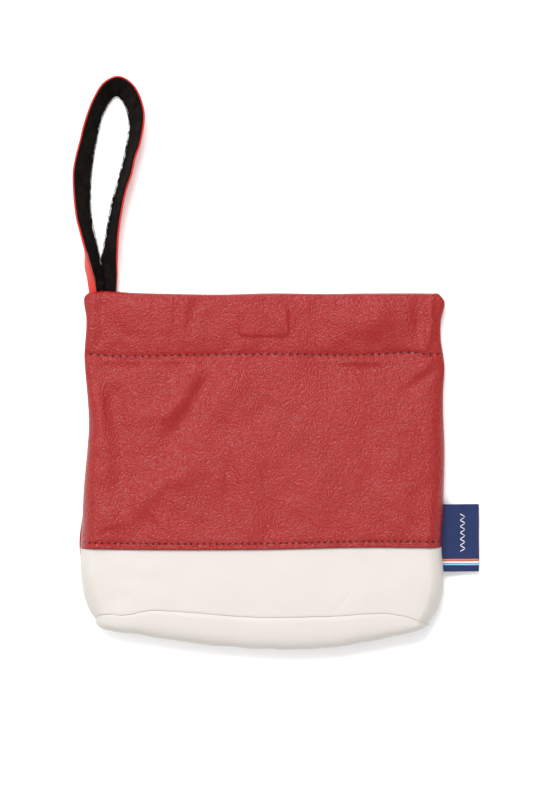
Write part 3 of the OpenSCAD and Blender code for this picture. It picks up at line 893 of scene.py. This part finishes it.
# Upper and lower edges of the strap's mid-surface from its left root round to its right one, about the
# middle of the root: across, and along from the mouth
STRAP_UPPER = [[-3.4, 0], [-3.9, 8], [-6, 17], [-10, 31], [-13, 42], [-14.5, 54], [-15, 66], [-13.5, 75],
               [-11, 84], [-9, 92], [-6, 101], [-2.5, 109], [2, 115.5], [9, 118.5], [16, 114], [20, 106],
               [21.5, 97], [19.5, 84], [16.5, 75], [14.5, 66], [11.5, 57], [9.5, 48], [8, 39], [7, 30],
               [6.5, 17], [6.5, 8], [6, 0]]
STRAP_LOWER = [[0.1, 0], [-0.6, 8], [-2.6, 17], [-5.4, 30], [-7.5, 40], [-8.3, 51], [-8, 64], [-7, 74],
               [-5.5, 83], [-4, 91.5], [-1.7, 100], [0.8, 105], [3.6, 109.3], [7, 111.3], [10.2, 109.2],
               [13.3, 103], [14.8, 95], [13.6, 84.5], [12, 76], [9.8, 67], [7.3, 58], [5, 49.5], [3.2, 40],
               [1.6, 31], [-0.9, 18], [0.0, 8], [0.4, 0]]
STRAP_W = 12.7
# How far its mid-surface's lower edge stays above the ground
STRAP_LIFT = 1.4
# Heights of its edges at the root, and the run over which it rises on edge
ROOT_HIGH = 4.4
ROOT_LOW = 2.6
ROOT_RUN = 24
# Thickness of its leather and its suede, and how far the leather's outer face lies outside the mid-surface
STRAP_LEATHER = 1.0
STRAP_SUEDE = 0.9
STRAP_OUT = 1.1
# Steps of the curve from one point of the lists to the next
STRAP_STEPS = 8


def through(points, steps):
    """Catmull-Rom curve through the points."""
    p = np.array(points, float)
    p = np.concatenate([p[:1], p, p[-1:]])
    out = []
    for a, b, c, d in zip(p, p[1:], p[2:], p[3:]):
        for t in np.arange(steps) / steps:
            out.append(0.5 * (2 * b + (c - a) * t + (2 * a - 5 * b + 4 * c - d) * t * t
                              + (3 * b - a - 3 * c + d) * t ** 3))
    return np.array(out + [p[-1]])


def strap_edges():
    """Upper and lower edges in space; the strap sinks into the hem at its root."""
    upper, lower = through(STRAP_UPPER, STRAP_STEPS), through(STRAP_LOWER, STRAP_STEPS)
    spread = np.linalg.norm(upper - lower, axis=1)
    high = STRAP_LIFT + np.sqrt(np.maximum(1, STRAP_W ** 2 - spread ** 2))
    risen = fade((upper[:, 1] + 1) / ROOT_RUN)
    high = ROOT_HIGH + (high - ROOT_HIGH) * risen
    low = ROOT_LOW + (STRAP_LIFT - ROOT_LOW) * risen
    at = np.array([STRAP_X, MOUTH_Y])
    return np.column_stack([upper + at, high]), np.column_stack([lower + at, low])


strap_high, strap_low = strap_edges()
tangent = np.gradient((strap_high + strap_low) / 2, axis=0)
strap_out = np.cross(strap_high - strap_low, tangent)
strap_out /= np.linalg.norm(strap_out, axis=1)[:, None]


def ribbon(high, low, out, offset, belly=0.35, across=11):
    """Grid of one face of the strap, from its lower edge to its upper one."""
    t = np.linspace(0, 1, across)[None, :, None]
    bow = belly * np.sin(math.pi * t)
    return low[:, None] * (1 - t) + high[:, None] * t + out[:, None] * (offset + bow)


# Near the left root the leather's lower edge swings out from under the suede
left_side = np.arange(len(strap_high)) < len(strap_high) / 2
root_open = fade((38 - (strap_high[:, 1] - MOUTH_Y)) / 26) * left_side
leather_low = strap_low.copy()
leather_low[:, 0] += root_open * (strap_high[:, 0] - 3.6 - strap_low[:, 0])
leather_out = np.cross(strap_high - leather_low, tangent)
leather_out /= np.linalg.norm(leather_out, axis=1)[:, None]
strap_leather_grid = ribbon(strap_high, leather_low, leather_out, STRAP_OUT)
strap_leather = sheet_piece("strap_outer_leather", strap_leather_grid, STRAP_LEATHER,
                            [strap_red, strap_edge, strap_edge])
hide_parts("strap_leather", "strap_tab")

# The suede's lower edge is cut unevenly and shows inside the loop
suede_grid = ribbon(strap_high, strap_low, strap_out, 0.0, across=15)
ragged = 0.35 * ripple(np.arange(len(suede_grid)) * 1.0, 0.0, 3.2, 9)
suede_grid[:, 0, :2] -= strap_out[:, :2] * (0.3 + np.abs(ragged))[:, None]
strap_suede = sheet_piece("strap_inner_suede", suede_grid, STRAP_SUEDE, [black_suede], bulge=0.4)
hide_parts("strap_suede")


def nap(name, edge, out, count, length, seed):
    """Short fibres that stand off the suede's cut edge."""
    r = np.random.default_rng(seed)
    place = r.uniform(0, len(edge) - 1.001, count)
    k = place.astype(int)
    t = (place - k)[:, None]
    root = edge[k] * (1 - t) + edge[k + 1] * t
    n = out[k] * (1 - t) + out[k + 1] * t
    way = -n + r.normal(0, 0.55, (count, 3))
    way /= np.linalg.norm(way, axis=1)[:, None]
    reach = length * r.uniform(0.3, 1.0, count)[:, None] ** 1.5
    side = np.cross(way, r.normal(0, 1, (count, 3)))
    side *= 0.07 / np.linalg.norm(side, axis=1)[:, None]
    other = np.cross(way, side)
    bend = r.normal(0, 0.12, (count, 3)) * reach
    base = root - n * 0.9 + r.normal(0, 0.15, (count, 3))
    ring = [base + side, base - 0.5 * side + 0.87 * other, base - 0.5 * side - 0.87 * other]
    middle = [p + way * reach * 0.5 + bend * 0.4 for p in ring]
    tip = base + way * reach + bend
    points = np.stack(ring + middle + [tip], 1).reshape(-1, 3)
    pattern = [(0, 1, 4, 3), (1, 2, 5, 4), (2, 0, 3, 5), (3, 4, 6), (4, 5, 6), (5, 3, 6), (2, 1, 0)]
    faces = [[7 * k + i for i in f] for k in range(count) for f in pattern]
    return piece(name, points, faces, [black_suede], smooth=False)


strap_nap = nap("strap_suede_nap", strap_low, strap_out, 4200, 1.0, 5)

# ---------------------------------------------------------------- label

# Stripes across the label: upper and lower edge, and the place of its cloth among the label's materials
LABEL_STRIPES = [(-49.1, -50.0, 1), (-50.4, -51.3, 2), (-51.6, -52.5, 3)]
LABEL_ROOT_X = HALF_W - 3.0
# How far it shows, half the height of its fold, its cloth's thickness and the columns of each of its faces
LABEL_SHOWN = 19
LABEL_HALF = 0.42
LABEL_CLOTH = 0.36
LABEL_COLS = 24


def label_piece():
    """Folded woven label with three stripes, both of its ends sewn into the side seam."""
    root_x, end_x = LABEL_ROOT_X, LABEL_HIGH[0] - 0.2
    mid_z = (LABEL_LOW[2] + LABEL_HIGH[2]) / 2
    t = np.linspace(0, 1, LABEL_COLS)
    turn = np.radians(np.linspace(90, -90, 9))[1:-1]
    top_x = root_x + (end_x - LABEL_HALF - root_x) * t
    profile_x = np.concatenate([top_x, end_x - LABEL_HALF + LABEL_HALF * np.cos(turn), top_x[::-1]])
    gap = LABEL_HALF * (0.55 + 0.45 * fade((np.concatenate([t, np.ones(len(turn)), t[::-1]]) - 0.1) / 0.25))
    sign = np.concatenate([np.ones(LABEL_COLS), np.sin(turn), -np.ones(LABEL_COLS)])
    y = np.unique(np.concatenate([np.linspace(LABEL_LOW[1], LABEL_HIGH[1], 60),
                                  [edge for stripe in LABEL_STRIPES for edge in stripe[:2]]]))
    X, Y = np.meshgrid(profile_x, y)
    out = (X - HALF_W) / LABEL_SHOWN
    lie = -1.5 * fade(out) + 0.35 * ripple(X, Y, 16, 8) * fade(out * 1.5) - 0.4 * hump((Y + 20) / 5) * out
    Z = mid_z + sign[None] * gap[None] + lie
    grid = np.stack([X, Y, Z], -1)
    points, faces, _ = shell(grid, LABEL_CLOTH, 0.3)
    stripe = np.zeros(len(faces), int)
    centre = points[faces].mean(1)[:, 1]
    for high, low, slot_index in LABEL_STRIPES:
        stripe[(centre < high) & (centre > low)] = slot_index
    cloths = [label_navy, label_orange, label_white, label_blue]
    obj = piece("side_label_woven", points, faces, cloths, stripe)
    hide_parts("side_label", "label_tab")
    return obj, grid


side_label, label_grid = label_piece()


def label_mark():
    """Generic pale zigzag of embroidery down the label."""
    steps, middle, swing = 13, 110.2, 1.5
    y = np.linspace(-24, -45, steps)
    x = middle + swing * np.where(np.arange(steps) % 2, 1, -1)

    def on_label(px, py):
        """Height of the label's upper face."""
        i = np.argmin(np.abs(label_grid[:, 0, 1][None] - py[:, None]), 1)
        j = np.argmin(np.abs(label_grid[0, :LABEL_COLS, 0][None] - px[:, None]), 1)
        return label_grid[i, j, 2]

    z = on_label(x, y) + 0.1
    path = np.stack([x, y, z], -1)
    return thread_row("label_zigzag", path[:-1], path[1:], np.tile([0.0, 0.0, 1.0], (steps - 1, 1)),
                      label_white, 0.26, 0.1)


zigzag = label_mark()

# ---------------------------------------------------------------- back half's body and baked transforms

for obj, slot_name in ((front_leather, "red_leather"), (front_white, "white_leather"),
                       (front_lining, "lining_cloth"), (hem_thread, "dark_thread"),
                       (band_thread, "dark_thread")):
    on_front(obj)
for obj, slot_name in ((back_leather, "red_leather"), (back_white, "white_leather"),
                       (base_leather, "white_leather"), (back_lining, "lining_cloth"),
                       (base_lining, "lining_cloth"), (back_hem_thread, "dark_thread"),
                       (back_band_thread, "dark_thread")):
    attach(obj, "back_half")
for obj, slot_name in ((strap_leather, "orange_leather"), (strap_suede, "black_suede"),
                       (strap_nap, "black_suede")):
    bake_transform(obj)
for obj in (side_label, zigzag):
    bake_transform(obj)

# ---------------------------------------------------------------- studio

# The camera looks straight down; the view is this high at the height VIEW_Z
CAMERA_X, CAMERA_Y, CAMERA_Z = 1.1, 39.3, 1310
VIEW_HEIGHT, VIEW_Z = 443.2, 10
# Half the floor's side and its depth below the pouch, in metres
FLOOR_HALF = 3.0
FLOOR_Z = -2e-5


def floor_piece():
    """Pale paper floor."""
    mesh = bpy.data.meshes.new("floor")
    corners = [(x * FLOOR_HALF, y * FLOOR_HALF, FLOOR_Z) for x, y in ((-1, -1), (1, -1), (1, 1), (-1, 1))]
    mesh.from_pydata(corners, [], [(0, 1, 2, 3)])
    n = Nodes("floor_paper")
    tone = n.noise(n.add("NewGeometry").outputs["Position"], 40.0, 2.0)
    n.finish(n.blend(tone, (0.93, 0.93, 0.93), (0.95, 0.95, 0.95)), 0.9, n.bump(tone, 0.01, 0.1),
             Specular_IOR_Level=0.0)
    mesh.materials.append(n.material)
    obj = bpy.data.objects.new("floor", mesh)
    bpy.context.scene.collection.objects.link(obj)


def lamp(name, place, size, power):
    """Soft lamp aimed at the pouch; place and size in metres."""
    light = bpy.data.lights.new(name, "AREA")
    light.shape, light.size, light.size_y = "RECTANGLE", size[0], size[1]
    light.energy = power
    obj = bpy.data.objects.new(name, light)
    obj.location = place
    x, y, z = place
    obj.rotation_euler = (math.atan2(math.hypot(x, y), z), 0, math.atan2(x, -y))
    bpy.context.scene.collection.objects.link(obj)


def studio():
    """Floor, lamps, white surroundings and the camera."""
    scene = bpy.context.scene
    floor_piece()
    lamp("key", (-0.3, 1.0, 1.5), (1.0, 0.8), 38)
    lamp("fill", (0.75, -0.85, 1.5), (1.2, 0.9), 11)
    lamp("side", (-1.2, 0.2, 1.1), (1.0, 1.4), 8)
    world = bpy.data.worlds.new("studio")
    world.use_nodes = True
    world.node_tree.nodes["Background"].inputs["Color"].default_value = (1, 1, 1, 1)
    world.node_tree.nodes["Background"].inputs["Strength"].default_value = 0.60
    scene.world = world
    scene.view_settings.view_transform = "Standard"
    camera = bpy.data.cameras.new("camera")
    camera.sensor_width = 36
    camera.lens = camera.sensor_width * (CAMERA_Z - VIEW_Z) / VIEW_HEIGHT
    camera.clip_start = 0.05
    obj = bpy.data.objects.new("camera", camera)
    obj.location = (CAMERA_X * MM, CAMERA_Y * MM, CAMERA_Z * MM)
    scene.collection.objects.link(obj)
    scene.camera = obj


studio()
